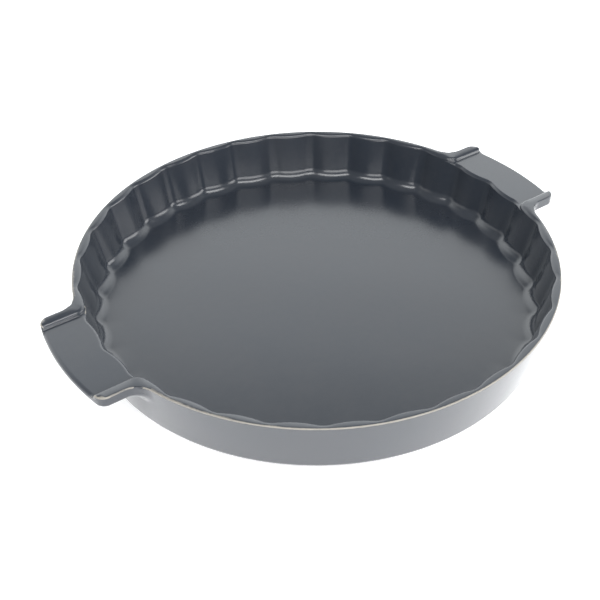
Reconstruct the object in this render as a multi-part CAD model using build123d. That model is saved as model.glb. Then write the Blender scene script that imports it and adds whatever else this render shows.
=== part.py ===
"""A round stoneware baking dish with a fluted inside wall and two slab handles.

The dish is one fired body. Its nodes are the regions that a potter forms and joins before
firing: the floor, the fluted wall, the two raised rims that run out along the handles, the two
handles and the foot ring. They meet face to face. The origin is the middle of the resting
plane, +Z is up, and the handles lie along the X axis. Sizes are in millimetres and angles in
degrees.
"""
import math
import os

from build123d import *

# The round body.
rim_diameter = 300.0
dish_height = 38.0
wall_slant = 10.4
base_edge_radius = 3.0
floor_thickness = 5.0
floor_disc_margin = 8.8
rim_outer_round = 1.2
rim_inner_round = 2.2

# The foot ring, which is left free of glaze. Its inset is from the outer wall's lower end.
foot_height = 1.2
foot_inset = 7.2
foot_width = 6.0
foot_edge_radius = 0.5

# The inside wall: broad lobes stand in towards the middle, with narrower valleys between them.
flute_count = 32
rim_width_at_valley = 4.1
flute_depth_at_rim = 2.0
flute_depth_at_cove = 2.5
valley_radius_at_rim = 12.0
valley_radius_at_cove = 11.0
inside_slant = 12.3
cove_radius = 8.5
cove_steps = 5
round_steps = 3

# The handles. Each is let a little way into the wall, and its top lies sunk between the two
# rims, whose ends run out along its sides.
handle_projection = 21.8
handle_thickness = 7.2
handle_corner_radius = 5.0
handle_under_round = 2.0
handle_root_radius = 8.5
handle_key_depth = 1.0
lip_width = 7.6
recess_depth = 2.8
recess_flare_run = 8.87
recess_flare_lobe = 1.5

# How far cutting tools run past what they cut, and how near counts as touching.
overrun = 4.0
touch = 0.01

# Places worked out from the sizes above.
rim_radius = rim_diameter / 2
handle_reach = rim_radius + handle_projection
floor_top = foot_height + floor_thickness
flute_pitch = 360 / flute_count
slant_rate = math.tan(math.radians(inside_slant))
cove_start_height = floor_top + cove_radius * (1 - math.sin(math.radians(inside_slant)))
wall_end_height = dish_height - rim_inner_round
wall_rise = wall_end_height - cove_start_height
handle_under = dish_height - handle_thickness
recess_floor = dish_height - recess_depth
crest_radius = rim_radius - rim_width_at_valley - flute_depth_at_rim
crest_angle = recess_flare_lobe * flute_pitch
crest_lean = math.sin(math.radians(crest_angle))
recess_side = crest_radius * crest_lean - recess_flare_run
handle_width = 2 * (recess_side + lip_width)
tool_top = dish_height + overrun


def polar(radius, degrees):
    """A point in the plan, by its distance from the middle and its direction."""
    turn = math.radians(degrees)
    return Vector(radius * math.cos(turn), radius * math.sin(turn))


def outer_radius(height):
    """The radius of the smooth outer wall at a height."""
    return rim_radius - (dish_height - height) * math.tan(math.radians(wall_slant))


def is_on_wall(point):
    """Whether a point lies on the smooth outer wall."""
    return abs(math.hypot(point.X, point.Y) - outer_radius(point.Z)) < touch


def slanted_round(bottom, top, inset):
    """A solid round with the outer wall's slant, set in from that wall."""
    low = (outer_radius(bottom) - inset, bottom)
    high = (outer_radius(top) - inset, top)
    outline = Polyline((0, bottom), low, high, (0, top), close=True)
    return revolve(make_face(Plane.XZ * outline), Axis.Z)


def wall_line(height):
    """The inside wall at a height: its valley radius, lobe radius and the valley's own arc."""
    share = (height - cove_start_height) / wall_rise
    valley = rim_radius - rim_width_at_valley - (wall_end_height - height) * slant_rate
    depth = flute_depth_at_cove + (flute_depth_at_rim - flute_depth_at_cove) * share
    arc = valley_radius_at_cove + (valley_radius_at_rim - valley_radius_at_cove) * share
    return valley, valley - depth, arc


def lobe_arc_radius(valley, lobe, valley_arc):
    """The radius of a lobe's arc that runs smoothly into the valley arcs beside it."""
    centre = valley - valley_arc
    spread = math.cos(math.radians(flute_pitch / 2))
    rest = valley_arc**2 - lobe**2 - centre**2 + 2 * centre * lobe * spread
    return rest / (2 * (lobe - centre * spread - valley_arc))


def fluted_outline(height, line, outward):
    """One closed fluted line at a height, moved outward everywhere by the same distance."""
    valley, lobe, valley_arc = [size + outward for size in line]
    lobe_arc = lobe_arc_radius(valley, lobe, valley_arc)
    join_share = valley_arc / (valley_arc + lobe_arc)
    arcs = []
    for flute in range(flute_count):
        angle = flute * flute_pitch
        centre = polar(valley - valley_arc, angle)
        next_centre = polar(valley - valley_arc, angle + flute_pitch)
        before = polar(lobe + lobe_arc, angle - flute_pitch / 2)
        after = polar(lobe + lobe_arc, angle + flute_pitch / 2)
        first = centre + (before - centre) * join_share
        second = centre + (after - centre) * join_share
        third = next_centre + (after - next_centre) * join_share
        arcs.append(ThreePointArc(first, polar(valley, angle), second))
        arcs.append(ThreePointArc(second, polar(lobe, angle + flute_pitch / 2), third))
    return Pos(0, 0, height) * Wire(arcs)


def edge_rounding(step):
    """How far the soft inner edge has moved outward and up after some of its steps."""
    turn = math.pi / 2 * step / round_steps
    return rim_inner_round * (1 - math.cos(turn)), rim_inner_round * math.sin(turn)


def cavity():
    """The hollow of the dish: the cove, the fluted wall and the soft inner edge."""
    cove_line = wall_line(cove_start_height)
    rim_line = wall_line(wall_end_height)
    steepest = math.radians(inside_slant)
    outlines = []
    for step in range(cove_steps, -1, -1):
        turn = steepest + (math.pi / 2 - steepest) * step / cove_steps
        inward = cove_radius * (math.cos(steepest) - math.cos(turn))
        height = floor_top + cove_radius * (1 - math.sin(turn))
        outlines.append(fluted_outline(height, cove_line, -inward))
    for step in range(round_steps + 1):
        outward, up = edge_rounding(step)
        outlines.append(fluted_outline(wall_end_height + up, rim_line, outward))
    outlines.append(fluted_outline(tool_top, rim_line, rim_inner_round))
    return Solid.make_loft(outlines, ruled=True)


def recess_outline(height, outward):
    """The line of one handle's recess: its sides swing out onto the crest of a lobe."""
    flare = recess_flare_run / (1 - crest_lean)
    centre = polar(crest_radius + flare, crest_angle)
    reach = flare - outward
    start = polar(crest_radius + outward, crest_angle)
    middle = centre + polar(reach, (crest_angle + 180 + 270) / 2)
    turn = centre - Vector(0, reach)
    corner = Vector(handle_reach + overrun, turn.Y)
    upper = [start, middle, turn, corner]
    lower = [Vector(point.X, -point.Y) for point in upper]
    pieces = [
        ThreePointArc(*upper[:3]),
        Line(upper[2], upper[3]),
        Line(upper[3], lower[3]),
        Line(lower[3], lower[2]),
        ThreePointArc(*reversed(lower[:3])),
        Line(lower[0], upper[0]),
    ]
    return Pos(0, 0, height) * Wire(pieces)


def recess_cutter():
    """The tool that parts the rims at the handle on +X and softens their inner edges."""
    outlines = [recess_outline(recess_floor - overrun, 0)]
    for step in range(round_steps + 1):
        outward, up = edge_rounding(step)
        outlines.append(recess_outline(wall_end_height + up, outward))
    outlines.append(recess_outline(tool_top, rim_inner_round))
    return Solid.make_loft(outlines, ruled=True)


def handle_slab():
    """The slab of both handles in one, running through the middle of the dish."""
    plan = Circle(handle_reach) & Rectangle(2 * handle_reach + overrun, handle_width)
    plan = fillet(plan.vertices(), handle_corner_radius)
    slab = extrude(Pos(0, 0, handle_under) * plan, handle_thickness)
    return fillet(slab.edges().group_by(Axis.Z)[0], handle_under_round)


def root_edges(blank):
    """The edges where the slab's sides and underside run into the outer wall."""
    chosen = []
    for edge in blank.edges():
        height = edge.center(CenterOf.BOUNDING_BOX).Z
        beside_slab = handle_under - touch < height < dish_height - touch
        if beside_slab and is_on_wall(edge @ 0) and is_on_wall(edge @ 1):
            chosen.append(edge)
    return chosen


def whole_body():
    """The body without its foot, before it is parted and the handles' tops are sunk."""
    core = slanted_round(foot_height, dish_height, 0)
    under_edge = core.edges().filter_by(GeomType.CIRCLE).sort_by(Axis.Z)[0]
    blank = fillet(under_edge, base_edge_radius) + handle_slab()
    blank = fillet(root_edges(blank), handle_root_radius)
    top_edges = blank.faces().sort_by(Axis.Z)[-1].edges()
    return fillet(top_edges, rim_outer_round) - cavity()


def handle_region():
    """The space that the handle on +X takes: a wedge outside the wall's face, past its roots."""
    bottom = handle_under - handle_root_radius
    half_width = handle_width / 2 + handle_root_radius
    half_angle = math.asin(half_width / (rim_radius - handle_key_depth))
    far_x = 2 * handle_reach
    far_y = far_x * math.tan(half_angle)
    plan = make_face(Polyline((0, 0), (far_x, far_y), (far_x, -far_y), close=True))
    wedge = extrude(Pos(0, 0, bottom) * plan, tool_top - bottom)
    return wedge - slanted_round(bottom - overrun, tool_top + overrun, handle_key_depth)


def foot_ring():
    """The low ring under the dish, with softened lower edges."""
    outer = outer_radius(foot_height) - foot_inset
    ring = extrude(Circle(outer) - Circle(outer - foot_width), foot_height)
    return fillet(ring.edges().group_by(Axis.Z)[0], foot_edge_radius)


def dish_nodes():
    """Every region of the dish by its node's name."""
    body = whole_body()
    upper_block = extrude(Pos(0, 0, recess_floor) * Circle(2 * handle_reach), recess_depth + overrun)
    lower = body - upper_block
    right_recess = recess_cutter()
    rims = (body & upper_block) - right_recess - Rot(0, 0, 180) * right_recess
    rim_front, rim_back = rims.solids().sort_by(Axis.Y)
    cove_foot = wall_line(cove_start_height)[1] - cove_radius
    plug = extrude(Circle(cove_foot - floor_disc_margin), floor_top + overrun)
    ring = lower - plug
    right_region = handle_region()
    left_region = Rot(0, 0, 180) * right_region
    return {
        "dish_floor": lower & plug,
        "fluted_wall": ring - right_region - left_region,
        "rim_front": rim_front,
        "rim_back": rim_back,
        "handle_right": ring & right_region,
        "handle_left": ring & left_region,
        "foot_ring": foot_ring(),
    }


os.makedirs("parts", exist_ok=True)
for name, solid in dish_nodes().items():
    print(name, "volume", round(solid.volume), "mm3")
    export_step(solid, f"parts/{name}.step")
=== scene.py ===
# %% [markdown]
# # A glazed quiche dish
#
# The dish is one fired body of stoneware under a satin slate-grey glaze: a flat floor, a wall
# pressed into 32 flutes inside and left smooth outside, a rim, two slab handles whose tops lie
# sunk between the ends of the rim, and a bare foot ring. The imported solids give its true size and
# place. This lesson makes the surfaces that the eye sees, one piece for each region of the body.

# %% Load the frame
import math

import bmesh
import bpy
import numpy as np
from mathutils import Matrix, Vector


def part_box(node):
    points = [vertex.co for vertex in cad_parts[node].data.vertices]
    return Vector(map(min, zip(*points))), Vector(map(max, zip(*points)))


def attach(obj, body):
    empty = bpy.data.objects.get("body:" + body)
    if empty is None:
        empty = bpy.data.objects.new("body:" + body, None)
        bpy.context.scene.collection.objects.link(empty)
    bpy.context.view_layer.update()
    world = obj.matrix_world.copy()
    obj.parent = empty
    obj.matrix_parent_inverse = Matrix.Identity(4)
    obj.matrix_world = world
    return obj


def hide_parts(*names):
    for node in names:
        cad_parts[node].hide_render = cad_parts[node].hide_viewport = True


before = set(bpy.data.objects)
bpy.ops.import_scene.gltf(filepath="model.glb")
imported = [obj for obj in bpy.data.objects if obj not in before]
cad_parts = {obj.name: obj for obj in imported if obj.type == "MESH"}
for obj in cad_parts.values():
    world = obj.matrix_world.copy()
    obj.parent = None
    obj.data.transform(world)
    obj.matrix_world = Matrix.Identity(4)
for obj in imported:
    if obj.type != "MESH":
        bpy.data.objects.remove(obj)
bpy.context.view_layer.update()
print("solids:", sorted(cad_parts))

# %% [markdown]
# ## Sizes
#
# A potter's drawing of the dish fits in a few numbers. The overall ones are read from the solids,
# so that the looks can't drift away from them. The rest are the widths, depths and radii that the
# tools of the mould have.

# %% Sizes of the round body
dish_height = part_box("rim_back")[1].z
handle_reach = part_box("handle_right")[1].x
drawn_reach = 171.8
MM = handle_reach / drawn_reach

# A hair less than the solids' 150, so the dressed dish passes their box by 0.03 mm at most.
rim_radius = 149.95 * MM
wall_slant = math.radians(10.4)
base_edge_round = 3 * MM
foot_height = 1.2 * MM
floor_top = 6.2 * MM
floor_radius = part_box("dish_floor")[1].x
rim_outer_round = 0.95 * MM
rim_inner_round = 1.9 * MM
print("dish height, mm:", round(dish_height / MM, 2), "reach, mm:", round(handle_reach / MM, 2))

# %% Sizes of the fluted inside
flute_count = 32
flute_pitch = math.tau / flute_count
inside_slant = math.radians(12.3)
cove_round = 8.0 * MM
cove_level = 12.89 * MM
rim_level = 35.8 * MM
valley_at_rim = rim_radius - 4.1 * MM
valley_at_cove = valley_at_rim - (rim_level - cove_level) * math.tan(inside_slant)
depth_at_rim, depth_at_cove = 2.0 * MM, 2.5 * MM
arc_at_rim, arc_at_cove = 12 * MM, 11 * MM
print("valley radius at the cove, mm:", round(valley_at_cove / MM, 2))

# %% Sizes of the handles
handle_width = 80.94 * MM
handle_under = dish_height - 7.2 * MM
handle_corner_round = 5 * MM
handle_under_round = 2 * MM
handle_root_round = 8.5 * MM
sunk_level = dish_height - 2.8 * MM
sunk_half_width = 32.87 * MM
flare_round = 8 * MM
sunk_fillet = 0.7 * MM
sunk_inner_round = 1.8 * MM
lip_end_round = 1.4 * MM
lip_side_round = 2.3 * MM
slab_end_round = 2.4 * MM
# The direction of the lobe whose crest a recess runs out onto.
flare_angle = 1.5 * flute_pitch
print("handle width, mm:", round(handle_width / MM, 2))


# %% [markdown]
# ## The flutes as a rule
#
# Seen from above, the inside wall is a chain of arcs: broad lobes that stand in towards the
# middle, and tighter valleys between them. Two arcs meet smoothly where the line through their
# centres crosses them, so the radius of the lobe follows from the other sizes. Both the distance
# function below and the Geometry Nodes tree further down use this one rule.

# %% The flute line at a height
def flute_line(level):
    """Valley radius, lobe radius and valley arc of the inside wall at each height."""
    share = (level - cove_level) / (rim_level - cove_level)
    valley = valley_at_cove + (valley_at_rim - valley_at_cove) * share
    depth = depth_at_cove + (depth_at_rim - depth_at_cove) * share
    arc = arc_at_cove + (arc_at_rim - arc_at_cove) * share
    return valley, valley - depth, arc


def lobe_arc(valley, lobe, arc):
    """The radius of the lobe's arc that runs smoothly into the valley arcs beside it."""
    centre = valley - arc
    spread = math.cos(flute_pitch / 2)
    rest = arc**2 - lobe**2 - centre**2 + 2 * centre * lobe * spread
    return rest / (2 * (lobe - centre * spread - arc))


print("lobe arc at the rim, mm:", round(lobe_arc(*flute_line(rim_level)) / MM, 1))


# %% [markdown]
# ## The clay as a distance
#
# Soft edges are what make pressed clay look like clay. Instead of modelling each fillet by hand,
# one function says how far any point lies from the body's surface: less than zero is inside the
# clay. Two forms are joined with a fillet, or cut with a rounded edge, by a short formula on
# their distances. Vertices can then slide onto the zero surface, and its slope gives exact
# normals, so pieces that meet share their shading and no seam shows.

# %% Joining and cutting with round edges
def join_round(one, other, radius):
    """The distance to two forms together, with a fillet of this radius where they meet."""
    gap = np.hypot(np.maximum(radius - one, 0), np.maximum(radius - other, 0))
    return np.maximum(radius, np.minimum(one, other)) - gap


def cut_round(one, other, radius):
    """The distance to what two forms share, with its edge rounded to this radius."""
    return -join_round(-one, -other, radius)


def smooth_share(value, start, end):
    """A share that runs smoothly from 0 at start to 1 at end."""
    share = np.clip((value - start) / (end - start), 0, 1)
    return share * share * (3 - 2 * share)


# %% The outside: a slanted round and the handle slab
def outer_radius(level):
    """The radius of the smooth outer wall at a height."""
    return rim_radius - (dish_height - level) * math.tan(wall_slant)


def outside(x, y, z):
    """The distance to the outer wall, its base edge and both handles."""
    radius = np.hypot(x, y)
    cone = (radius - outer_radius(z)) * math.cos(wall_slant)
    cone = cut_round(cone, foot_height - z, base_edge_round)
    plan = cut_round(np.abs(y) - handle_width / 2, radius - handle_reach, handle_corner_round)
    slab = cut_round(plan, handle_under - z, handle_under_round)
    return join_round(cone, slab, handle_root_round)


# %% The inside: the fluted hollow and the sunk tops
def wall_distance(x, y, z):
    """How far a point lies behind the fluted wall, measured in the clay."""
    valley, lobe, arc = flute_line(z)
    bow = lobe_arc(valley, lobe, arc)
    turn = np.arctan2(y, x)
    turn = np.abs(turn - flute_pitch * np.round(turn / flute_pitch))
    radius = np.hypot(x, y)
    across, along = radius * np.cos(turn), radius * np.sin(turn)
    lobe_x = (lobe + bow) * math.cos(flute_pitch / 2)
    lobe_y = (lobe + bow) * math.sin(flute_pitch / 2)
    valley_x = valley - arc
    side = (lobe_x - valley_x) * along - lobe_y * (across - valley_x)
    in_valley = np.hypot(across - valley_x, along) - arc
    in_lobe = bow - np.hypot(across - lobe_x, along - lobe_y)
    return np.where(side < 0, in_valley, in_lobe) * math.cos(inside_slant)


def lobe_place(level):
    """Centre and radius of the lobe's arc that a recess runs out onto."""
    line = flute_line(level)
    bow = lobe_arc(*line)
    return (line[1] + bow) * math.cos(flare_angle), (line[1] + bow) * math.sin(flare_angle), bow


lobe_x, lobe_y, lobe_bow = lobe_place(rim_level)
flare_y = sunk_half_width + flare_round
flare_x = lobe_x - math.sqrt((lobe_bow - flare_round) ** 2 - (lobe_y - flare_y) ** 2)
flare_turn = math.atan2(lobe_y - flare_y, lobe_x - flare_x)
recess_start = 0.5 * flare_x
no_recess = 10 * rim_radius


def recess_distance(x, y, z):
    """How far a point lies beside the recess over a handle, less than zero in the recess."""
    u, v = np.abs(x), np.abs(y)
    centre_x, centre_y, bow = lobe_place(z)
    radius = bow - np.hypot(centre_x - flare_x, centre_y - flare_y)
    in_flare = radius - np.hypot(u - flare_x, v - flare_y)
    beside = np.where(u < flare_x, in_flare, v - flare_y + radius)
    beyond = (v - flare_y) * math.cos(flare_turn) - (u - flare_x) * math.sin(flare_turn)
    return np.where((beyond < 0) & (u > recess_start), beside, no_recess)


print("recess runs onto the lobe at, degrees:", round(math.degrees(flare_turn), 1))


# %% The whole body
# Two roundings stay below these shares of the strip between the recess and the hollow. The others
# change into each other over these distances.
fillet_share, round_share = 0.4, 0.6
edge_fade, lip_fade = 3 * MM, 8 * MM
slab_fade = (0.3 * MM, 3 * MM)

slope_step = 0.02 * MM
settle_rounds, least_push = 8, 0.05


def clay(points):
    """The distance from each point to the surface of the body."""
    x, y, z = points[:, 0], points[:, 1], points[:, 2]
    wall = wall_distance(x, y, z)
    recess = recess_distance(x, y, z)
    strip = np.clip(wall - recess, 0, rim_radius) * (recess < no_recess / 2)
    shell = outside(x, y, z)
    top = z - dish_height
    body = cut_round(shell, top, rim_outer_round)
    hollow = cut_round(wall, floor_top - z, cove_round)
    sunk = cut_round(recess, sunk_level - z, np.minimum(sunk_fillet, fillet_share * strip))
    void = join_round(hollow, sunk, np.minimum(sunk_inner_round, round_share * strip))
    inner_edge = smooth_share(top - shell, -edge_fade, 0)
    on_slab = (1 - inner_edge) * smooth_share(-recess, *slab_fade)
    on_lip = smooth_share(np.hypot(x, y) - rim_radius, 0, lip_fade)
    inner_round = rim_inner_round + (lip_side_round - rim_inner_round) * on_lip
    edge = lip_end_round + (inner_round - lip_end_round) * inner_edge
    edge = edge + (slab_end_round - lip_end_round) * on_slab
    return cut_round(body, -void, edge)


def slope(points):
    """The direction in which the distance grows, which is the normal on the surface."""
    corners = np.array([[1, -1, -1], [-1, -1, 1], [-1, 1, -1], [1, 1, 1]])
    growth = sum(np.outer(clay(points + corner * slope_step), corner) for corner in corners)
    return growth / (4 * slope_step)


def settle(points, free, level=None):
    """Slides the free points onto the surface. Points marked level keep their height."""
    points = points.copy()
    for _ in range(settle_rounds):
        moving = points[free]
        push = slope(moving)
        if level is not None:
            push[level[free], 2] = 0
        length = np.maximum((push**2).sum(axis=1), least_push)
        points[free] = moving - push * (clay(moving) / length)[:, None]
    return points


floor_middle = np.array([[0, 0, floor_top]])
print("distance at the floor's middle, mm:", round(clay(floor_middle)[0] / MM, 4))


# %% [markdown]
# ## From points to closed pieces
#
# The rims, the handles and the foot are laid out as belts: stations follow each other along a
# line, and each station is one closed section. A belt that runs right round closes on itself. A
# rim closes where its last sections shrink to a line, and a handle gets a face at both ends. One
# helper joins the points with quads, and another merges doubles and turns all faces outwards.

# %% Mesh helpers
merge_distance = 0.002 * MM


def add_object(name, data):
    """A new object in the scene, at the origin."""
    item = bpy.data.objects.new(name, data)
    bpy.context.scene.collection.objects.link(item)
    return item


def new_piece(name, points, faces):
    """A smooth-shaded mesh object from points and faces, closed and facing outwards."""
    mesh = bpy.data.meshes.new(name)
    mesh.from_pydata(points.tolist(), [], faces)
    return finish_mesh(name, mesh)


def finish_mesh(name, mesh):
    """Merges doubles, turns the faces outwards and returns the linked object."""
    work = bmesh.new()
    work.from_mesh(mesh)
    bmesh.ops.remove_doubles(work, verts=work.verts, dist=merge_distance)
    bmesh.ops.dissolve_degenerate(work, edges=work.edges, dist=merge_distance / 2)
    bmesh.ops.recalc_face_normals(work, faces=work.faces)
    open_edges = sum(1 for edge in work.edges if len(edge.link_faces) != 2)
    work.to_mesh(mesh)
    work.free()
    mesh.polygons.foreach_set("use_smooth", [True] * len(mesh.polygons))
    print(name, "faces", len(mesh.polygons), "open edges", open_edges)
    return add_object(name, mesh)


def belt_faces(stations, rows, closed):
    """Quads between neighbouring stations, each a closed loop of rows."""
    faces = []
    for s in range(stations if closed else stations - 1):
        here, there = s * rows, (s + 1) % stations * rows
        for r in range(rows):
            after = (r + 1) % rows
            faces.append((here + r, there + r, there + after, here + after))
    return faces


def mesh_points(mesh):
    """The vertices of a mesh as rows of x, y, z."""
    points = np.empty(len(mesh.vertices) * 3)
    mesh.vertices.foreach_get("co", points)
    return points.reshape(-1, 3)


def row_lengths(rows):
    """The length of every row, never quite zero, as a column to divide by."""
    return np.maximum(np.linalg.norm(rows, axis=1), 1e-9)[:, None]


# %% [markdown]
# ## Normals and the thin glaze
#
# Glaze runs off sharp edges while it melts, so they fire paler. How sharply the surface turns is
# measured from the same distance function: the sum of its slopes' changes is large and positive
# on an outer edge, and negative in a hollow. It is stored on the vertices as an attribute that
# the glaze reads.

# %% Shade a piece from the distance function
turn_step = 0.25 * MM
surface_touch = 0.03 * MM


def turning(points):
    """How sharply the surface turns at each point, in one over metres."""
    total = -6 * clay(points)
    for axis in np.eye(3):
        total = total + clay(points + axis * turn_step) + clay(points - axis * turn_step)
    return total / turn_step**2


def shade_from_clay(piece):
    """Exact normals where a vertex lies on the surface, and the turning as an attribute."""
    mesh = piece.data
    points = mesh_points(mesh)
    normals = slope(points)
    normals /= row_lengths(normals)
    normals[np.abs(clay(points)) > surface_touch] = 0
    mesh.normals_split_custom_set_from_vertices(normals.tolist())
    turns = turning(points) * MM
    attribute = mesh.attributes.new("turning", "FLOAT", "POINT")
    attribute.data.foreach_set("value", turns.astype(np.float32))
    print(piece.name, "sharpest turn, per mm:", round(float(turns.max()), 2))
    return piece


# %% [markdown]
# ## Maths written as nodes
#
# A Geometry Nodes tree that works out a formula is a long chain of Math nodes. This little class
# lets Python's own signs build them: adding two fields puts down an Add node and wires it. All
# other nodes come from one helper, which links or sets their inputs.

# %% Nodes, and a field that can be calculated with
def feed(tree, node, inputs):
    """Links a node's inputs to fields or sockets, or sets them to plain values."""
    for place, value in inputs.items():
        value = value.socket if isinstance(value, Field) else value
        if isinstance(value, bpy.types.NodeSocket):
            tree.links.new(value, node.inputs[place])
        else:
            node.inputs[place].default_value = value


def add_node(tree, kind, inputs=None, **settings):
    """A node of this kind with its settings, and its inputs fed by name or place."""
    node = tree.nodes.new(kind)
    for name, value in settings.items():
        setattr(node, name, value)
    feed(tree, node, inputs or {})
    return node


class Field:
    """One value in a node tree. Signs between fields put down Math nodes."""

    def __init__(self, tree, socket):
        self.tree, self.socket = tree, socket

    def work(self, operation, *others):
        """The result of one Math node on this field and the others."""
        inputs = dict(enumerate((self, *others)))
        node = add_node(self.tree, "ShaderNodeMath", inputs, operation=operation)
        return Field(self.tree, node.outputs[0])

    def __add__(self, other):
        return self.work("ADD", other)

    def __sub__(self, other):
        return self.work("SUBTRACT", other)

    def __mul__(self, other):
        return self.work("MULTIPLY", other)

    def __truediv__(self, other):
        return self.work("DIVIDE", other)

    def mix(self, other, share):
        """This field at share 0 and the other at share 1."""
        return self + (other - self) * share


def group_inputs(tree):
    """A group's own inputs by name, as fields to calculate with."""
    given = add_node(tree, "NodeGroupInput").outputs
    return {socket.name: Field(tree, socket) for socket in given if socket.name}


# %% [markdown]
# ## The fluted wall
#
# The wall is pressed in a mould with 32 equal flutes: a shape that follows a rule, so Geometry
# Nodes make it. The tree takes the wall's section as a row of points, lays it out at every
# station round the dish, and moves each fluted point out or in by the arc rule. Its inputs are
# the sizes of the flutes, so a coarser or deeper fluting is one changed number.

# %% The flute tool: a tree that turns a section into a fluted ring
line_sizes = ("Valley", "Depth", "Arc")
tool_inputs = {"Section": "Geometry", "Stations": "Int", "Rows": "Int", "Flutes": "Int"}
tool_inputs |= {"Cove level": "Float", "Rim level": "Float", "Glaze": "Material"}
tool_inputs |= {size + place: "Float" for size in line_sizes for place in (" at cove", " at rim")}


def flute_tool():
    """Builds the tree and returns it."""
    tree = bpy.data.node_groups.new("flute_tool", "GeometryNodeTree")
    for label, kind in tool_inputs.items():
        tree.interface.new_socket(label, in_out="INPUT", socket_type="NodeSocket" + kind)
    tree.interface.new_socket("Ring", in_out="OUTPUT", socket_type="NodeSocketGeometry")
    size = group_inputs(tree)

    all_rows = size["Rows"] + 1
    counts = {"Vertices X": size["Stations"] + 1, "Vertices Y": all_rows}
    grid = add_node(tree, "GeometryNodeMeshGrid", counts)
    index = Field(tree, add_node(tree, "GeometryNodeInputIndex").outputs[0])
    station = (index / all_rows).work("FLOOR")
    row = (index - station * all_rows).work("MODULO", size["Rows"])

    def from_section(name):
        """The section's attribute at this vertex's row."""
        kind = "GeometryNodeInputNamedAttribute"
        read = add_node(tree, kind, {"Name": name}, data_type="FLOAT")
        inputs = {"Geometry": size["Section"], "Value": read.outputs["Attribute"], "Index": row}
        sample = add_node(tree, "GeometryNodeSampleIndex", inputs, data_type="FLOAT")
        return Field(tree, sample.outputs["Value"])

    plain = from_section("plain_radius")
    height = from_section("height")
    outward = from_section("outward")
    fluted = from_section("fluted")
    level = height.work("MAXIMUM", size["Cove level"])
    share = (level - size["Cove level"]) / (size["Rim level"] - size["Cove level"])
    low_to_high = ((size[what + " at cove"], size[what + " at rim"]) for what in line_sizes)
    valley, depth, arc = (low.mix(high, share) for low, high in low_to_high)
    arc = arc + outward
    valley = valley + outward
    lobe = valley - depth
    centre = valley - arc

    turn = station / size["Stations"] * math.tau
    half_pitch = size["Flutes"].work("POWER", -1.0) * math.pi
    folded = turn / (half_pitch * 2)
    folded = (folded - folded.work("ROUND")).work("ABSOLUTE") * (half_pitch * 2)
    spread = half_pitch.work("COSINE")
    rest = arc * arc - lobe * lobe - centre * centre + centre * lobe * spread * 2
    bow = rest / ((lobe - centre * spread - arc) * 2)
    bow_centre = lobe + bow
    join = arc / (arc + bow)
    join_x = centre.mix(bow_centre * spread, join)
    join_y = bow_centre * half_pitch.work("SINE") * join
    join_turn = join_y.work("ARCTAN2", join_x)
    lean = centre * folded.work("SINE")
    in_valley = centre * folded.work("COSINE") + (arc * arc - lean * lean).work("SQRT")
    back = half_pitch - folded
    lean = bow_centre * back.work("SINE")
    in_lobe = bow_centre * back.work("COSINE") - (bow * bow - lean * lean).work("SQRT")
    past_join = folded.work("GREATER_THAN", join_turn)
    radius = plain.mix(in_valley.mix(in_lobe, past_join), fluted)

    flat = {0: radius * turn.work("COSINE"), 1: radius * turn.work("SINE"), 2: height}
    place = add_node(tree, "ShaderNodeCombineXYZ", flat).outputs[0]
    steps = {
        "GeometryNodeSetPosition": {"Position": place},
        "GeometryNodeMergeByDistance": {"Distance": merge_distance},
        "GeometryNodeRealizeInstances": {},
        "GeometryNodeSetMaterial": {"Material": size["Glaze"]},
    }
    ring = grid.outputs["Mesh"]
    for kind, inputs in steps.items():
        ring = add_node(tree, kind, {"Geometry": ring} | inputs).outputs[0]
    add_node(tree, "NodeGroupOutput", {"Ring": ring})
    return tree


# %% The wall's section
stations_per_flute = 24
station_count = flute_count * stations_per_flute

# Rows lie closer where the surface turns. The drops and the offsets are in millimetres.
cove_steps, outer_rows, base_steps = 10, 12, 6
wall_shares = (0.1, 0.25, 0.4, 0.55, 0.7, 0.82, 0.91)
edge_drops = (2.2, 1.9, 1.6, 1.3, 1.0, 0.7, 0.4, 0.2, 0)
top_offsets = (0.2, 0.5, 0.8, 1.1, 1.4, 1.7, 2.0, 2.4, 3.0)
under_shares = (0.97, 0.94, 0.91)
last_inset = 0.5 * MM


def wall_section():
    """Rows of plain radius, height, outward offset and share of fluting, once round."""
    rows = [(floor_radius, floor_top, 0, 0)]
    for step in range(cove_steps + 1):
        turn = inside_slant + (math.pi / 2 - inside_slant) * (1 - step / cove_steps)
        inward = cove_round * (math.cos(inside_slant) - math.cos(turn))
        level = floor_top + cove_round * (1 - math.sin(turn))
        rows.append((0, level, -inward, 1))
    start = rows[-1][1]
    rise = sunk_level - edge_drops[0] * MM - start
    rows += [(0, start + rise * share, 0, 1) for share in wall_shares]
    rows += [(0, sunk_level - drop * MM, 0, 1) for drop in edge_drops]
    rows += [(0, sunk_level, offset * MM, 1) for offset in top_offsets]
    rows.append((outer_radius(sunk_level) - last_inset, sunk_level, 0, 0))
    for level in np.linspace(sunk_level, foot_height + base_edge_round, outer_rows):
        rows.append((outer_radius(level), level, 0, 0))
    for step in range(1, base_steps + 1):
        turn = math.pi / 2 * step / base_steps
        level = foot_height + base_edge_round * (1 - math.sin(turn))
        inset = base_edge_round * (1 - math.cos(turn))
        rows.append((outer_radius(level) - inset, level, 0, 0))
    base_radius = outer_radius(foot_height)
    rows += [(base_radius * share, foot_height, 0, 0) for share in under_shares]
    rows.append((floor_radius, foot_height, 0, 0))
    return np.array(rows)


section = wall_section()
print("rows in the wall's section:", len(section))


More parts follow.
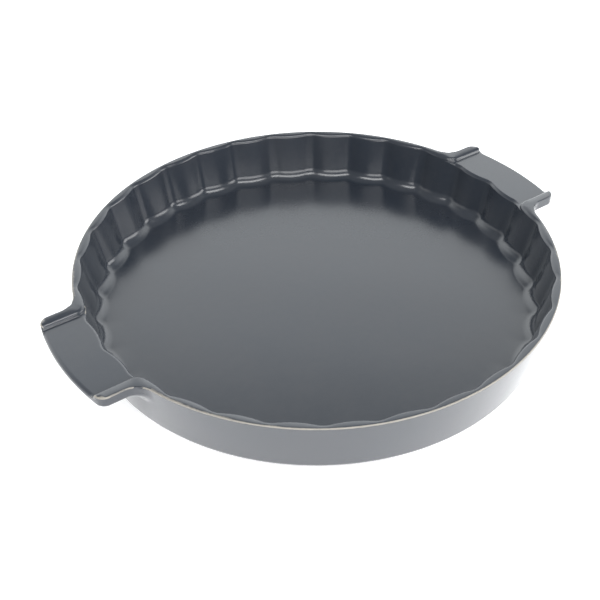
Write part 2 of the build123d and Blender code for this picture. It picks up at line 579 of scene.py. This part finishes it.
# %% Run the flute tool
def fluted_ring(name, section, glaze):
    """The ring that the flute tool makes from a section, as a plain mesh."""
    line = bpy.data.meshes.new(name + "_section")
    line.from_pydata([(row[0], 0, row[1]) for row in section], [], [])
    for column, label in enumerate(("plain_radius", "height", "outward", "fluted")):
        attribute = line.attributes.new(label, "FLOAT", "POINT")
        attribute.data.foreach_set("value", section[:, column].astype(np.float32))
    holder = add_object(name + "_maker", line)
    tree = flute_tool()
    modifier = holder.modifiers.new("flutes", "NODES")
    modifier.node_group = tree
    sizes = {"Stations": station_count, "Rows": len(section), "Flutes": flute_count}
    sizes |= {"Cove level": cove_level, "Rim level": rim_level, "Glaze": glaze}
    sizes |= {"Valley at cove": valley_at_cove, "Valley at rim": valley_at_rim}
    sizes |= {"Depth at cove": depth_at_cove, "Depth at rim": depth_at_rim}
    sizes |= {"Arc at cove": arc_at_cove, "Arc at rim": arc_at_rim}
    for item in tree.interface.items_tree:
        if item.name in sizes:
            modifier[item.identifier] = sizes[item.name]
    bpy.context.view_layer.update()
    evaluated = holder.evaluated_get(bpy.context.evaluated_depsgraph_get())
    mesh = bpy.data.meshes.new_from_object(evaluated)
    bpy.data.objects.remove(holder)
    return finish_mesh(name, mesh)


glaze = bpy.data.materials.new("slate_glaze")
wall = fluted_ring("glazed_wall", section, glaze)

# %% [markdown]
# The tool's ring is right but for the rounded edges, the sunk tops and the roots of the handles.
# There the visible points slide onto the exact surface. Points that a handle's fillet covers sink
# by a hair, so that the two pieces don't flicker through each other.

# %% Press the wall onto the exact surface
recess_touch = 0.02 * MM
level_touch = 0.1 * MM
top_depth, root_depth = 1.5 * MM, 0.8 * MM
root_drop = 9 * MM
covered_sink = 0.02 * MM
station_pitch = flute_pitch / stations_per_flute
root_distance = rim_radius + handle_root_round
root_y = handle_width / 2 + handle_root_round
root_start = math.asin(root_y / root_distance)

points = mesh_points(wall.data)
depth = clay(points)
in_recess = recess_distance(*points.T) < recess_touch
on_top = points[:, 2] > sunk_level - level_touch / 2
visible = (depth > -surface_touch) | (in_recess & on_top & (depth > -top_depth))
turned = np.arctan2(np.abs(points[:, 1]), np.abs(points[:, 0]))
outside_face = np.hypot(points[:, 0], points[:, 1]) > outer_radius(points[:, 2]) - level_touch
past_root = turned > root_start - 0.6 * station_pitch
visible |= outside_face & past_root & (depth > -root_depth)
points = settle(points, visible)
covered = outside_face & visible & (turned < root_start)
covered &= points[:, 2] > handle_under - root_drop
covered &= points[:, 2] < sunk_level - level_touch
points[covered] -= slope(points[covered]) * covered_sink
wall.data.vertices.foreach_set("co", points.ravel())
wall.data.update()
shade_from_clay(wall)

# %% [markdown]
# ## The rims
#
# The rim is a flat band with a soft inner edge and a crisp outer one. At each handle it turns
# outwards and ends as the lip along the handle's side. Its stations pair a point of the inner
# line with one of the outer line, and walk from the tip of one lip to the tip of the other.

# %% The two lines that the rim follows
def on_circle(radius, turns):
    """Points in the plan at a distance from the middle, in the given directions."""
    return np.stack([radius * np.cos(turns), radius * np.sin(turns)], 1)


def arc_line(centre, radius, start, end, count):
    """Points on an arc in the plan, from one direction to another."""
    return np.array(centre) + on_circle(radius, np.linspace(start, end, count))


def straight(start, end, shares):
    """Points on a straight line in the plan."""
    start, end = np.array(start), np.array(end)
    return start + (end - start) * np.array(shares)[:, None]


def at_level(flat, level):
    """Points of the plan lifted to a height."""
    return np.column_stack([flat, np.full(len(flat), level)])


half_width = handle_width / 2
root_x = math.sqrt(root_distance**2 - root_y**2)
corner_y = half_width - handle_corner_round
corner_x = math.sqrt((handle_reach - handle_corner_round) ** 2 - corner_y**2)
corner_turn = math.atan2(corner_y, corner_x)
tip_y = sunk_half_width + 0.5 * MM
tip_turn = math.asin(tip_y / handle_reach)
tip_x = math.sqrt(handle_reach**2 - tip_y**2)
meet_x = flare_x - flare_round * math.cos(flare_turn)
meet_y = flare_y - flare_round * math.sin(flare_turn)
meet_turn = math.atan2(meet_y, meet_x)

# Both lines have as many points: along the root, the lip's side, the corner and the tip.
root_count, side_count, corner_count, tip_count = 22, 12, 15, 7
lip_shares = np.linspace(0, 1, side_count)[1:]
turn_start = (corner_x + 1 * MM, sunk_half_width)
turn_end = (tip_x - 0.6 * MM, tip_y)
down = 1.5 * math.pi
outer_end = np.concatenate([
    arc_line((root_x, root_y), handle_root_round, math.pi + root_start, down, root_count),
    straight((root_x, half_width), (corner_x, half_width), lip_shares),
    arc_line((corner_x, corner_y), handle_corner_round, math.pi / 2, corner_turn, corner_count)[1:],
    arc_line((0, 0), handle_reach, corner_turn, tip_turn, tip_count)[1:],
])
inner_end = np.concatenate([
    arc_line((flare_x, flare_y), flare_round, math.pi + flare_turn, down, root_count),
    straight((flare_x, sunk_half_width), turn_start, lip_shares),
    straight(turn_start, turn_end, np.linspace(0, 1, corner_count)[1:]),
    straight(turn_end, (tip_x, tip_y), np.linspace(0, 1, tip_count)[1:]),
])
print("stations at each end of a rim:", len(outer_end))


# %% Build both rims
band_width = 4.0 * MM
side_drops = (1, 0.85, 0.7, 0.56, 0.43, 0.31, 0.2, 0.1, 0)
inner_insets = (0.25, 0.5, 0.8, 1.1, 1.5, 1.9, 2.3)
outer_insets = (1.2, 0.8, 0.55, 0.35, 0.2, 0.08)
slide_rounds, seam_touch = 6, 0.01 * MM


def flute_points(turns, level):
    """Points on the fluted line, found by sliding onto the wall's surface."""
    line = at_level(on_circle(flute_line(level)[1], turns), level)
    for _ in range(slide_rounds):
        line[:, :2] *= 1 - (wall_distance(*line.T) / np.hypot(line[:, 0], line[:, 1]))[:, None]
    return line[:, :2]


def rim_lines():
    """The outer and the inner line of the rim that lies on the side of +Y."""
    steps = round((math.pi - 2 * meet_turn) / flute_pitch * stations_per_flute)
    turns = np.linspace(root_start, math.pi - root_start, steps + 1)[1:-1]
    outer = on_circle(rim_radius, turns)
    inner = flute_points(np.linspace(meet_turn, math.pi - meet_turn, steps + 1)[1:-1], rim_level)
    mirror = np.array([-1, 1])
    outer = np.concatenate([outer_end[::-1], outer, outer_end * mirror])
    inner = np.concatenate([inner_end[::-1], inner, inner_end * mirror])
    return outer, inner


def rim_band(name, turn):
    """One rim as a closed belt, turned by half a turn for the other side."""
    outer, inner = rim_lines()
    width = row_lengths(outer - inner)
    squeezed_way = (outer - inner) / width * MM * np.minimum(width / band_width, 1)
    rise = dish_height - sunk_level
    rows = [(inner, dish_height - drop * rise) for drop in side_drops]
    rows += [(inner + squeezed_way * inset, dish_height) for inset in inner_insets]
    rows += [(outer - squeezed_way * inset, dish_height) for inset in outer_insets]
    rows += [(outer, dish_height - drop * rise) for drop in reversed(side_drops)]
    points = np.stack([at_level(flat, level) for flat, level in rows], 1).reshape(-1, 3)
    seam = points[:, 2] < sunk_level + seam_touch
    points = settle(points, np.ones(len(points), bool), seam)
    points[:, :2] *= turn
    return shade_from_clay(new_piece(name, points, belt_faces(len(outer), len(rows), False)))


rim_back = rim_band("glazed_rim_back", 1)
rim_front = rim_band("glazed_rim_front", -1)

# %% [markdown]
# ## The handles
#
# Each handle is a slab that grows out of the wall on soft fillets. Its stations run along the
# slab's edge from root to root. Each one is a closed section: the sunk top, the end or side, the
# rounded lower edge, the underside and the fillet that runs down onto the wall.

# %% Lay out one handle
# How far from the handle's middle line the stations along its end lie, closer beside the lips.
beside_lip = (32.6, 32.2, 31.9, 31.7, 31.5, 31.45, 31.2, 30.9, 30.6, 30.3, 29.8)
end_offsets = np.concatenate([beside_lip, np.linspace(28.5, 0, 12)]) * MM

# The rows of a section. Shares are of the way to the wall, and the rest is in millimetres.
whole_way = 1.0
wall_side_shares = (1, 0.94, 0.88, 0.8, 0.7, 0.6, 0.45, 0.35)
top_insets = (3.3, 2.6, 2.0, 1.5, 1.1, 0.8, 0.5, 0.25)
end_drops = (0, 0.25, 0.5, 0.8, 1.1, 1.5, 1.9, 2.3, 2.7, 3.0, 3.3, 3.6, 3.9, 4.2)
under_insets = (0, 0.3, 0.7, 1.1, 1.6, 2.2, 3.0)
under_way = (0.5, 0.6, 0.7, 0.8, 0.9)
top_limit, under_limit = 0.25, 0.5
inside_depth, hidden_depth = 0.6 * MM, 0.3 * MM


def handle_lines():
    """For each station, the point on the slab's edge and its partner on the wall."""
    side = outer_end[: 1 - tip_count]
    end = np.stack([np.sqrt(handle_reach**2 - end_offsets**2), end_offsets], 1)
    edge = np.concatenate([side, end])
    turns = np.arcsin(end_offsets / outer_radius(sunk_level))
    root_turns = np.linspace(root_start, turns[0], len(side) + 1)[:-1]
    partner = np.concatenate([root_turns, turns])
    edge = np.concatenate([edge, edge[-2::-1] * np.array([1, -1])])
    partner = np.concatenate([partner, -partner[-2::-1]])
    return edge, partner


def handle_slab(name, turn):
    """One handle as a closed belt, turned by half a turn for the other side."""
    edge, partner = handle_lines()

    def on_wall(level, inset=0):
        """A row on the outer wall, or inset into it."""
        return at_level(on_circle(outer_radius(level) - inset, partner), level)

    def on_slab(level, inset, share):
        """A row set in from the slab's edge, but by no more than a share of the way."""
        line = on_circle(outer_radius(level), partner) - edge
        length = row_lengths(line)
        return at_level(edge + line * (np.minimum(inset, length * share) / length), level)

    top = [on_slab(sunk_level, whole_way, share) for share in wall_side_shares]
    top += [on_slab(sunk_level, inset * MM, top_limit) for inset in top_insets]
    side = [on_slab(sunk_level - drop * MM, 0, 0) for drop in end_drops]
    under = [on_slab(handle_under, inset * MM, under_limit) for inset in under_insets]
    under += [on_slab(handle_under, whole_way, share) for share in under_way]
    root = [on_wall(handle_under - drop) for drop in np.linspace(0, root_drop, 10)]
    inside = [on_wall(level, inside_depth) for level in (handle_under - root_drop, sunk_level - MM)]
    rows = top + side + under + root + inside
    points = np.stack(rows, 1)
    stations, count = points.shape[:2]
    points = points.reshape(-1, 3)
    row_number = np.tile(np.arange(count), stations)
    is_top = row_number < len(top)
    is_inside = row_number >= count - len(inside)
    in_recess = recess_distance(*points.T) < recess_touch
    free = ~is_inside & (~is_top | in_recess)
    seam = (row_number == len(top)) & ~in_recess
    points = settle(points, free, seam)
    hidden = is_top & ~in_recess
    push = np.maximum(clay(points[hidden]) + hidden_depth, 0)
    points[hidden] -= slope(points[hidden]) * push[:, None]
    points[:, :2] *= turn
    faces = belt_faces(stations, count, False)
    faces.append(tuple(range(count))[::-1])
    faces.append(tuple(range((stations - 1) * count, stations * count)))
    return shade_from_clay(new_piece(name, points, faces))


handle_right = handle_slab("glazed_handle_right", 1)
handle_left = handle_slab("glazed_handle_left", -1)

# %% [markdown]
# ## The floor
#
# The floor is a disc that was jiggered flat, and it is never quite flat: fired clay settles by
# hundredths of a millimetre, and a satin glaze shows it in soft reflections. The disc is a grid
# of rings, moved up and down by a few broad waves that die out before the wall.

# %% Build the floor
floor_rings, floor_stations = 60, 256
wave_height, wave_shift, fade_start = 0.05 * MM, 1, 0.6
wave_x, wave_y, wave_slant = 31 * MM, 27 * MM, 19 * MM


def floor_disc():
    """A closed disc whose top waves a little."""
    rings = floor_radius * np.linspace(0, 1, floor_rings + 1)[1:]
    turns = np.linspace(0, math.tau, floor_stations, endpoint=False)
    radius, turn = np.meshgrid(rings, turns)
    x, y = radius * np.cos(turn), radius * np.sin(turn)
    fade = 1 - smooth_share(radius, fade_start * floor_radius, floor_radius)
    wave = np.sin(x / wave_x + wave_shift) * np.cos(y / wave_y) + np.sin((x + y) / wave_slant) / 2
    top = np.stack([x, y, floor_top + wave_height * wave * fade], 2).reshape(-1, 3)
    under = np.stack([x[:, -1], y[:, -1], np.full(floor_stations, foot_height)], 1)
    middle = [[0, 0, floor_top + wave_height * math.sin(wave_shift)], [0, 0, foot_height]]
    points = np.concatenate([top, under, middle])
    first_under = len(top)
    top_middle, under_middle = len(points) - 2, len(points) - 1
    faces = []
    for s in range(floor_stations):
        here, there = s * floor_rings, (s + 1) % floor_stations * floor_rings
        for r in range(floor_rings - 1):
            faces.append((here + r, here + r + 1, there + r + 1, there + r))
        faces.append((top_middle, here, there))
        low, next_low = first_under + s, first_under + (s + 1) % floor_stations
        faces.append((here + floor_rings - 1, low, next_low, there + floor_rings - 1))
        faces.append((under_middle, next_low, low))
    return new_piece("glazed_floor", points, faces)


floor = floor_disc()
floor_points = mesh_points(floor.data)
at_edge = np.hypot(floor_points[:, 0], floor_points[:, 1]) > floor_radius - level_touch
upward = np.zeros_like(floor_points)
upward[at_edge, 2] = np.where(floor_points[at_edge, 2] > floor_top / 2, 1, -1)
floor.data.normals_split_custom_set_from_vertices(upward.tolist())

# %% [markdown]
# ## The foot ring
#
# The dish stands on a low ring that the potter wipes free of glaze, so that it doesn't stick to
# the kiln shelf. It is a plain turned ring with softened lower edges.

# %% Build the foot ring
foot_outer, foot_width, foot_edge = 136 * MM, 6 * MM, 0.5 * MM
foot_steps, foot_stations = 4, 256


def foot():
    """The bare ring as a belt that closes on itself."""
    rows = [(foot_outer - foot_width, foot_height), (foot_outer, foot_height)]
    turns = [math.pi / 2 * step / foot_steps for step in range(foot_steps + 1)]
    edge = [(foot_edge * (1 - math.cos(t)), foot_edge * (1 - math.sin(t))) for t in turns]
    rows += [(foot_outer - inset, level) for inset, level in edge]
    rows += [(foot_outer - foot_width + inset, level) for inset, level in reversed(edge)]
    turns = np.linspace(0, math.tau, foot_stations, endpoint=False)
    points = np.stack([at_level(on_circle(radius, turns), level) for radius, level in rows], 1)
    faces = belt_faces(foot_stations, len(rows), True)
    return new_piece("bare_foot_ring", points.reshape(-1, 3), faces)


foot_ring = foot()
foot_ring.data.set_sharp_from_angle(angle=math.radians(40))

# %% [markdown]
# ## Shared effects as node groups
#
# Each effect of a finish is a shader node group with its own inputs. Mottling is the slow drift
# of colour in both finishes. Speckle is the iron in the bare clay. The thinning mask says where
# the surface turns so sharply that the glaze ran off.

# %% Group helpers
def new_group(name, inputs, output):
    """An empty shader node group with float inputs and one output."""
    group = bpy.data.node_groups.new(name, "ShaderNodeTree")
    for label, value in inputs.items():
        socket = group.interface.new_socket(label, in_out="INPUT", socket_type="NodeSocketFloat")
        socket.default_value = value
    group.interface.new_socket(output, in_out="OUTPUT", socket_type="NodeSocketFloat")
    return group, group_inputs(group)


def object_place(tree):
    """The shaded point in the object's own coordinates."""
    return add_node(tree, "ShaderNodeTexCoord").outputs["Object"]


def noise(tree, scale, detail=3.0):
    """A noise texture in the object's own coordinates."""
    inputs = {"Vector": object_place(tree), "Scale": scale, "Detail": detail}
    return Field(tree, add_node(tree, "ShaderNodeTexNoise", inputs).outputs["Fac"])


def stretch(field, low, high):
    """A field stretched so that low becomes 0 and high becomes 1, smoothly."""
    inputs = {"Value": field, "From Min": low, "From Max": high}
    node = add_node(field.tree, "ShaderNodeMapRange", inputs, interpolation_type="SMOOTHSTEP")
    return Field(field.tree, node.outputs["Result"])


# %% Mottling
fine_clouds, fine_share = 9.0, 0.3
cloud_low, cloud_high = 0.3, 0.7


def mottling_group():
    """Slow clouds with finer ones in them, from 0 to 1."""
    group, given = new_group("mottling", {"Scale": 40.0}, "Clouds")
    slow = noise(group, given["Scale"], 4.0)
    fine = noise(group, given["Scale"] * fine_clouds, 2.0)
    clouds = stretch(slow.mix(fine, fine_share), cloud_low, cloud_high)
    add_node(group, "NodeGroupOutput", {"Clouds": clouds})
    return group


# %% Speckle
rare_level = 0.75


def speckle_group():
    """Small round specks, 1 in a speck and 0 between them."""
    group, given = new_group("speckle", {"Scale": 300.0, "Size": 0.16}, "Specks")
    inputs = {"Vector": object_place(group), "Scale": given["Scale"]}
    cells = add_node(group, "ShaderNodeTexVoronoi", inputs).outputs
    near = Field(group, cells["Distance"]).work("LESS_THAN", given["Size"])
    pick = add_node(group, "ShaderNodeSeparateColor", {0: cells["Color"]})
    rare = Field(group, pick.outputs[0]).work("GREATER_THAN", rare_level)
    add_node(group, "NodeGroupOutput", {"Specks": near * rare})
    return group


# %% Thinning over edges
# The pale lines fade out towards the far right.
wobble_share = 0.35
drain_x, drain_y = -0.75 / rim_radius, -0.65 / rim_radius
drain_start, drain_end = -0.6, -0.1


def thinning_group():
    """How thin the glaze is, from how sharply the surface turns, broken up a little."""
    group, given = new_group("thinning", {"Start": 0.3, "Full": 0.9, "Break scale": 260.0}, "Thin")
    read = add_node(group, "ShaderNodeAttribute", attribute_name="turning")
    wobble = noise(group, given["Break scale"]) - 0.5
    turn = Field(group, read.outputs["Fac"]) + wobble * wobble_share
    share = stretch((turn - given["Start"]) / (given["Full"] - given["Start"]), 0, 1)
    place = add_node(group, "ShaderNodeSeparateXYZ", {0: object_place(group)}).outputs
    lean = Field(group, place[0]) * drain_x + Field(group, place[1]) * drain_y
    thin = share * stretch(lean, drain_start, drain_end)
    add_node(group, "NodeGroupOutput", {"Thin": thin})
    return group


mottling, speckle, thinning = mottling_group(), speckle_group(), thinning_group()
print("shared effects:", mottling.name, speckle.name, thinning.name)

# %% [markdown]
# ## The slate glaze
#
# The glaze is a satin slate grey: a dark base under a soft, even gloss. It drifts slightly
# between bluish and neutral grey, and where it ran thin over an edge the buff clay shows
# through as a pale line. The surface has a very fine orange-peel texture that softens what it
# mirrors.

# %% Build the slate glaze
def open_material(material):
    """The node tree of a material and its main shader."""
    material.use_nodes = True
    return material.node_tree, material.node_tree.nodes["Principled BSDF"]


def use_group(tree, group, output, **values):
    """The output of a group placed in a material, with the group's inputs set."""
    inputs = {label.replace("_", " "): value for label, value in values.items()}
    node = add_node(tree, "ShaderNodeGroup", inputs, node_tree=group)
    return Field(tree, node.outputs[output])


def mix_colour(tree, share, low, high):
    """A colour between two, each a colour or a socket, by a share."""
    low, high = ((*end, 1) if isinstance(end, tuple) else end for end in (low, high))
    node = add_node(tree, "ShaderNodeMix", {"Factor": share, 6: low, 7: high}, data_type="RGBA")
    return node.outputs[2]


def roughen(tree, shader, height, distance, strength=1.0):
    """A fine relief on a shader's surface."""
    inputs = {"Height": height, "Distance": distance, "Strength": strength}
    bump = add_node(tree, "ShaderNodeBump", inputs)
    feed(tree, shader, {"Normal": bump.outputs["Normal"]})


glaze_cool = (0.020, 0.025, 0.034)
glaze_warm = (0.025, 0.029, 0.037)
glaze_thin = (0.22, 0.205, 0.18)
glaze_roughness, roughness_drift, thin_roughness = 0.19, 0.04, 0.5
peel_fine, peel_broad, peel_depth, peel_strength = 700.0, 120.0, 0.02 * MM, 0.5
glaze_ior = 1.55


def build_glaze(material):
    """Fills the glaze material with its nodes."""
    tree, shader = open_material(material)
    clouds = use_group(tree, mottling, "Clouds", Scale=26.0)
    thin = use_group(tree, thinning, "Thin", Start=0.8, Full=1.25, Break_scale=420.0)
    colour = mix_colour(tree, clouds, glaze_cool, glaze_warm)
    gloss = clouds * roughness_drift + glaze_roughness
    relief = noise(tree, peel_fine, 2.0) + noise(tree, peel_broad, 2.0) * 2
    colour = mix_colour(tree, thin, colour, glaze_thin)
    gloss = gloss + (gloss * -1 + thin_roughness) * thin
    feed(tree, shader, {"Base Color": colour, "Roughness": gloss, "IOR": glaze_ior})
    roughen(tree, shader, relief, peel_depth, peel_strength)


build_glaze(glaze)

# %% [markdown]
# ## The bare clay
#
# The foot ring shows the fired body itself: buff, dry and slightly gritty, with darker specks.

# %% Build the bare clay
clay_light = (0.62, 0.54, 0.43)
clay_dark = (0.50, 0.43, 0.34)
grit_colour = (0.22, 0.17, 0.12)
grit_share, grit_scale, grit_depth = 0.6, 1800.0, 0.1 * MM
clay_roughness, clay_drift = 0.8, 0.1


def build_bare_clay():
    """The material of the unglazed foot."""
    material = bpy.data.materials.new("bare_stoneware")
    tree, shader = open_material(material)
    clouds = use_group(tree, mottling, "Clouds", Scale=60.0)
    specks = use_group(tree, speckle, "Specks", Scale=900.0, Size=0.3)
    colour = mix_colour(tree, clouds, clay_dark, clay_light)
    colour = mix_colour(tree, specks * grit_share, colour, grit_colour)
    dryness = clouds * clay_drift + clay_roughness
    feed(tree, shader, {"Base Color": colour, "Roughness": dryness})
    roughen(tree, shader, noise(tree, grit_scale), grit_depth)
    return material


bare_clay = build_bare_clay()
print("finishes:", glaze.name, bare_clay.name)

# %% [markdown]
# ## Give every piece its finish and body, and hide its solid
#
# Each piece takes its finish and rides on the one body of the dish, and the solid whose region it
# dresses is hidden.

# %% Hand the pieces to the frame
dressing = {
    "dish_floor": floor,
    "fluted_wall": wall,
    "rim_front": rim_front,
    "rim_back": rim_back,
    "handle_right": handle_right,
    "handle_left": handle_left,
    "foot_ring": foot_ring,
}
for node, piece in dressing.items():
    material, slot = glaze, "slate_glaze"
    if piece is foot_ring:
        material, slot = bare_clay, "bare_stoneware"
    piece.data.materials.clear()
    piece.data.materials.append(material)
    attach(piece, "root")
    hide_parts(node)
    print(node, "is dressed by", piece.name)

# %% [markdown]
# ## The stage
#
# A white table runs out of sight and is seen as pure white wherever nothing shades it. It glows
# a little for the camera, so the dish's shadow stays, and more for the dish that it lights.

# %% Floor and world
table_size = 6.0
glow_seen, glow_cast = 0.6, 1.2
table_paint = {"Base Color": (0.86, 0.86, 0.86, 1), "Roughness": 0.9, "Specular IOR Level": 0.1}


def build_table():
    """A wide pale floor under the dish."""
    mesh = bpy.data.meshes.new("table")
    side = table_size / 2
    corners = [(-side, -side, 0), (side, -side, 0), (side, side, 0), (-side, side, 0)]
    mesh.from_pydata(corners, [], [(0, 1, 2, 3)])
    table = add_object("table", mesh)
    material = bpy.data.materials.new("white_table")
    tree, shader = open_material(material)
    feed(tree, shader, table_paint)
    path = add_node(tree, "ShaderNodeLightPath")
    seen = Field(tree, path.outputs["Is Camera Ray"]) * (glow_seen - glow_cast) + glow_cast
    glow = add_node(tree, "ShaderNodeEmission", {"Strength": seen})
    both = add_node(tree, "ShaderNodeAddShader", {0: shader.outputs[0], 1: glow.outputs[0]})
    feed(tree, tree.nodes["Material Output"], {"Surface": both.outputs[0]})
    mesh.materials.append(material)


build_table()
world = bpy.data.worlds.new("studio")
bpy.context.scene.world = world
world.use_nodes = True
world_tree = world.node_tree
backdrop = world_tree.nodes["Background"]

# %% [markdown]
# Camera rays see plain white. All other rays see a studio with a bright screen behind the dish.
# The screen ends a little above the height that the floor mirrors at its far side, so the gloss
# on the floor fades towards the camera.

# %% The studio that the glaze mirrors
view_turn = math.radians(326.0)
right = Vector((math.cos(view_turn), math.sin(view_turn), 0))
forward = Vector((-math.sin(view_turn), math.cos(view_turn), 0))
ambient, screen = 0.42, 2.05
screen_sides, screen_top = (0.1, 0.6), (-0.80, -0.60)
white, studio_tint = (1, 1, 1), (0.96, 0.99, 1.0)


def direction_share(axis, low, high):
    """How far a ray's direction leans along an axis, stretched to 0 at low and 1 at high."""
    looking = add_node(world_tree, "ShaderNodeTexCoord").outputs["Generated"]
    inputs = {0: looking, 1: axis}
    dot = add_node(world_tree, "ShaderNodeVectorMath", inputs, operation="DOT_PRODUCT")
    return stretch(Field(world_tree, dot.outputs["Value"]), low, high)


behind = direction_share(forward, *screen_sides)
low = direction_share((0, 0, -1), *screen_top)
studio = behind * low * screen + ambient
path = add_node(world_tree, "ShaderNodeLightPath")
by_camera = Field(world_tree, path.outputs["Is Camera Ray"])
strength = studio + (studio * -1 + 1) * by_camera
tint = mix_colour(world_tree, by_camera, studio_tint, white)
feed(world_tree, backdrop, {"Strength": strength, "Color": tint})
print("studio light:", ambient, "and the screen:", screen)

# %% [markdown]
# ## Camera
#
# The view is that of the photograph: about 39 degrees above the table, with the handles running
# from the lower left to the upper right. The lens and the distance were fitted to the rim, the
# base and the handles' corners.

# %% Place the camera
view_lift = math.radians(39.3)
view_roll = math.radians(-1.0)
view_distance = 649.6 * MM
focal_pixels, picture_pixels = 1005.8, 600
shift_pixels = (1.8, -0.4)
aim_right, aim_back = -11.3 * MM, 0.5 * MM

back = forward * -math.cos(view_lift) + Vector((0, 0, math.sin(view_lift)))
axes = Matrix((right, back.cross(right), back)).transposed().to_4x4()
aim = right * aim_right + forward * aim_back
camera = add_object("camera", bpy.data.cameras.new("camera"))
camera.data.lens = focal_pixels / picture_pixels * camera.data.sensor_width
camera.data.shift_x, camera.data.shift_y = (pixels / picture_pixels for pixels in shift_pixels)
camera.matrix_world = (
    Matrix.Translation(aim + back * view_distance) @ axes @ Matrix.Rotation(view_roll, 4, "Z")
)
bpy.context.scene.camera = camera
print("lens, mm:", round(camera.data.lens, 1))

# %% [markdown]
# ## Light
#
# Four broad soft lamps fill in. One hangs above the camera's side, one stands low in front, and
# one stands at each side. The right one is much stronger, so the outer wall is lightest there.

# %% Hang the lamps
def lamp(name, size, power, place):
    """A soft rectangular lamp that points at the middle of the table."""
    data = bpy.data.lights.new(name, "AREA")
    data.shape = "RECTANGLE"
    data.size, data.size_y = size
    data.energy = power
    item = add_object(name, data)
    item.location = place
    item.rotation_euler = place.to_track_quat("Z", "Y").to_euler()
    print(name, "lamp, watts:", power)


def around(side, away, height):
    """A place given as seen by the camera: to its right, away from it, and up."""
    return right * side + forward * away + Vector((0, 0, height))


lamp("side_right", (0.8, 0.6), 8, around(1.2, 0.0, 0.3))
lamp("side_left", (0.8, 0.6), 1.2, around(-1.2, 0.1, 0.3))
lamp("overhead", (1.6, 0.4), 17, around(0.1, -0.62, 1.3))
lamp("front", (1.8, 0.6), 16, around(0.3, -1.35, 0.5))

# %% Colour management
bpy.context.scene.view_settings.view_transform = "Standard"
